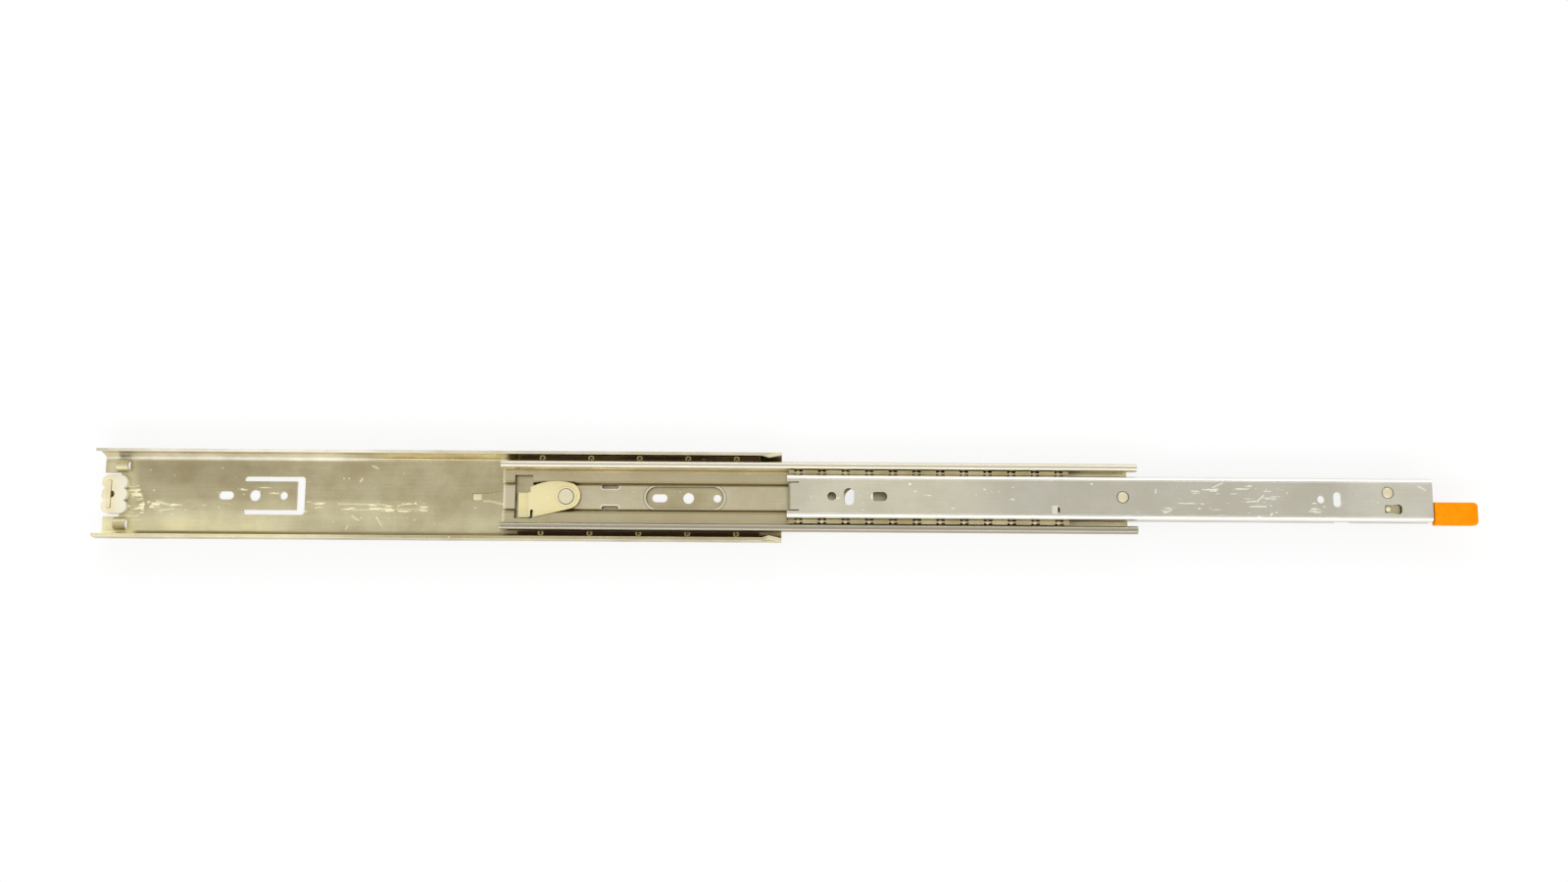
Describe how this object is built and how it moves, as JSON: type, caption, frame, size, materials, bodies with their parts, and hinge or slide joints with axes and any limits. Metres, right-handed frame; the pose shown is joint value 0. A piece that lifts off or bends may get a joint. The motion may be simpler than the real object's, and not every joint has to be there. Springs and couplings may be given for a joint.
{
  "type": "drawer slide",
  "caption": "Telescopic ball-bearing drawer slide of nested rolled steel members with caged balls, a sprung lock lever with an orange cap, a sequence latch and a rear bumper, drawn fully out.",
  "frame": {"origin": "halfway between the two main screw holes of the cabinet member, on its back face", "axes": "+X along the slide towards the front, +Y across it, +Z from the cabinet side to the drawer side"},
  "size_m": [0.8047, 0.053, 0.019],
  "materials": {
    "cabinet_steel": "yellowish zinc plate, satin, scuffed",
    "intermediate_steel": "yellowish zinc plate, satin",
    "drawer_steel": "greyer zinc plate, satin, speckled",
    "fitting_steel": "zinc plate, satin",
    "latch_steel": "pale gold zinc plate, satin",
    "rivet_steel": "bright zinc plate",
    "spring_wire": "drawn wire",
    "outer_cage_steel": "dark brown, oily",
    "inner_cage_steel": "brassy plate, oily",
    "ball_steel": "polished",
    "bumper_plastic": "cream moulding",
    "cap_plastic": "orange dipped vinyl"
  },
  "bodies": {
    "cabinet": {"cabinet_web": "cabinet_steel", "cabinet_flange_upper": "cabinet_steel", "cabinet_flange_lower": "cabinet_steel", "rear_bumper": "bumper_plastic"},
    "outer_cages": {"outer_cage_upper": "outer_cage_steel", "outer_cage_lower": "outer_cage_steel", "outer_balls_upper": "ball_steel", "outer_balls_lower": "ball_steel"},
    "intermediate": {"intermediate_web": "intermediate_steel", "intermediate_flange_upper": "intermediate_steel", "intermediate_flange_lower": "intermediate_steel", "catch_arm": "fitting_steel", "catch_arm_rivets": "rivet_steel", "catch_stud": "rivet_steel", "latch_pivot": "rivet_steel"},
    "latch": {"sequence_latch": "latch_steel"},
    "inner_cages": {"inner_cage_upper": "inner_cage_steel", "inner_cage_lower": "inner_cage_steel", "inner_balls_upper": "ball_steel", "inner_balls_lower": "ball_steel"},
    "drawer": {"drawer_web": "drawer_steel", "drawer_flange_upper": "drawer_steel", "drawer_flange_lower": "drawer_steel", "stop_rivet": "rivet_steel", "spring_post": "rivet_steel", "lock_spring": "spring_wire", "dog_pivot": "rivet_steel"},
    "lever": {"lock_lever": "fitting_steel", "lever_cap": "cap_plastic"},
    "dog": {"lock_dog": "fitting_steel"}
  },
  "joints": [
    {"name": "intermediate_slide", "type": "slide", "parent": "cabinet", "child": "intermediate", "axis": [1, 0, 0], "range_m": [-0.2205, 0]},
    {"name": "drawer_slide", "type": "slide", "parent": "intermediate", "child": "drawer", "axis": [1, 0, 0], "range_m": [-0.1575, 0]},
    {"name": "outer_cage_slide", "type": "slide", "parent": "cabinet", "child": "outer_cages", "axis": [1, 0, 0], "range_m": [-0.11025, 0]},
    {"name": "inner_cage_slide", "type": "slide", "parent": "intermediate", "child": "inner_cages", "axis": [1, 0, 0], "range_m": [-0.07875, 0]},
    {"name": "latch_hinge", "type": "hinge", "parent": "intermediate", "child": "latch", "pos_m": [0.0565, 0, 0.0075], "axis": [0, 0, -1], "range_deg": [0, 5.7]},
    {"name": "lever_hinge", "type": "hinge", "parent": "drawer", "child": "lever", "pos_m": [0.535, 0.0042, 0.01565], "axis": [0, 0, -1], "range_deg": [0, 0.69], "stiffness_Nm_per_rad": 4, "springref_deg": -1.15, "deforming": ["lock_spring"]},
    {"name": "dog_hinge", "type": "hinge", "parent": "drawer", "child": "dog", "pos_m": [0.404, -0.0012, 0.0111], "axis": [0, 0, -1], "range_deg": [0, 8.56]}
  ],
  "couplings": [
    {"joint": "outer_cage_slide", "follows": "intermediate_slide", "ratio": 0.5},
    {"joint": "inner_cage_slide", "follows": "drawer_slide", "ratio": 0.5},
    {"joint": "dog_hinge", "follows": "lever_hinge", "ratio": 12.391}
  ]
}
